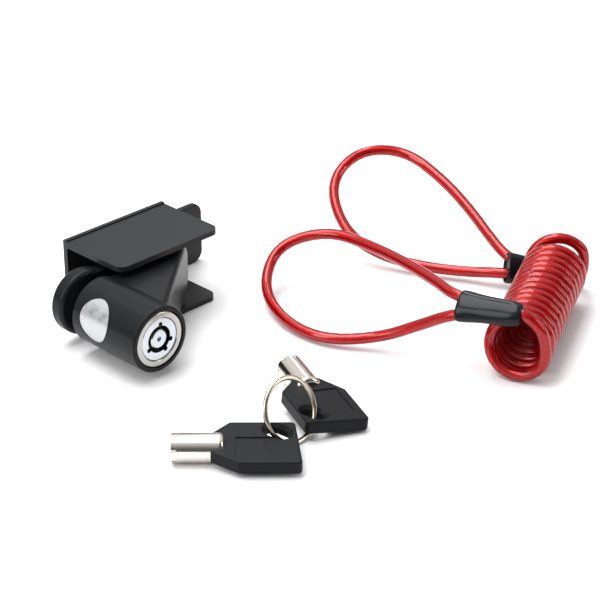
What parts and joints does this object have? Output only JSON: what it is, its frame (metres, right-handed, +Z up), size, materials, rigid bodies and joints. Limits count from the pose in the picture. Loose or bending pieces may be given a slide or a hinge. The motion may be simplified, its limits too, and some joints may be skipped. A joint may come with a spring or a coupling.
{
  "type": "disc brake lock kit with reminder cable",
  "caption": "Push-in brake disc lock sitting in its carrying bracket, with a red coiled reminder cable ending in two loops and a pair of tubular keys on a ring.",
  "frame": {"origin": "centre of the carrying bracket's flat underside", "axes": "+X along the bracket towards its tab, +Y from the lock's keyhole towards the bracket's back plate, +Z up"},
  "size_m": [0.1901, 0.1535, 0.0328],
  "materials": {
    "bracket_plastic": "satin",
    "lock_paint": "satin",
    "label_metal": "satin",
    "spring_steel": "satin",
    "lock_chrome": "polished",
    "lock_steel": "machined",
    "pin_brass": "machined",
    "cable_jacket": "glossy translucent",
    "boot_rubber": "satin",
    "ferrule_aluminium": "satin",
    "ring_steel": "polished",
    "key_chrome": "polished",
    "key_plastic": "satin"
  },
  "bodies": {
    "bracket": {"bracket": "bracket_plastic"},
    "lock": {"lock_body": "lock_paint", "label_plate": "label_metal", "return_spring": "spring_steel"},
    "cylinder": {"cylinder_sleeve": "lock_chrome", "cylinder_housing": "lock_chrome", "end_plate": "lock_steel", "locking_pin": "lock_steel", "driver_block": "pin_brass", "driver_pin_1": "pin_brass", "driver_pin_2": "pin_brass", "driver_pin_3": "pin_brass", "driver_pin_4": "pin_brass", "driver_pin_5": "pin_brass", "driver_pin_6": "pin_brass", "driver_pin_7": "pin_brass", "pin_spring_1": "spring_steel", "pin_spring_2": "spring_steel", "pin_spring_3": "spring_steel", "pin_spring_4": "spring_steel", "pin_spring_5": "spring_steel", "pin_spring_6": "spring_steel", "pin_spring_7": "spring_steel"},
    "plug": {"spindle": "lock_chrome", "cam_plate": "lock_steel", "key_pin_1": "pin_brass", "key_pin_2": "pin_brass", "key_pin_3": "pin_brass", "key_pin_4": "pin_brass", "key_pin_5": "pin_brass", "key_pin_6": "pin_brass", "key_pin_7": "pin_brass"},
    "latch": {"latch_bolt": "lock_steel"},
    "cable": {"cable_coil": "cable_jacket", "cable_front_loop": "cable_jacket", "cable_back_loop": "cable_jacket", "front_boot": "boot_rubber", "back_boot": "boot_rubber", "front_ferrule": "ferrule_aluminium", "back_ferrule": "ferrule_aluminium"},
    "ring": {"key_ring": "ring_steel"},
    "key_a": {"key_a_barrel": "key_chrome", "key_a_head": "key_plastic"},
    "key_b": {"key_b_barrel": "key_chrome", "key_b_head": "key_plastic"}
  },
  "joints": [
    {"name": "lock_slide", "type": "slide", "parent": "bracket", "child": "lock", "axis": [-1, 0, 0], "range_m": [0, 0.055]},
    {"name": "cylinder_pop", "type": "slide", "parent": "lock", "child": "cylinder", "axis": [0, -1, 0], "range_m": [0, 0.0095]},
    {"name": "plug_turn", "type": "hinge", "parent": "cylinder", "child": "plug", "pos_m": [-0.0295, -0.0423, 0.0145], "axis": [0, 1, 0], "range_deg": [0, 90]},
    {"name": "latch_slide", "type": "slide", "parent": "cylinder", "child": "latch", "axis": [0, 0, 1], "range_m": [0, 0.0013]},
    {"name": "cable_lift", "type": "slide", "parent": "bracket", "child": "cable", "axis": [0, 0, 1], "range_m": [0, 0.08]},
    {"name": "keys_lift", "type": "slide", "parent": "bracket", "child": "ring", "axis": [0, 0, 1], "range_m": [0, 0.08]},
    {"name": "key_a_turn", "type": "hinge", "parent": "ring", "child": "key_a", "pos_m": [-0.0347, -0.103, 0.0053], "axis": [0, 0, 1], "range_deg": [-12, 12]},
    {"name": "key_b_turn", "type": "hinge", "parent": "ring", "child": "key_b", "pos_m": [-0.0184, -0.10264, 0.0048], "axis": [0, 0, 1], "range_deg": [-12, 12]}
  ],
  "couplings": [
    {"joint": "latch_slide", "follows": "plug_turn", "m_per_rad": 0.000764}
  ]
}
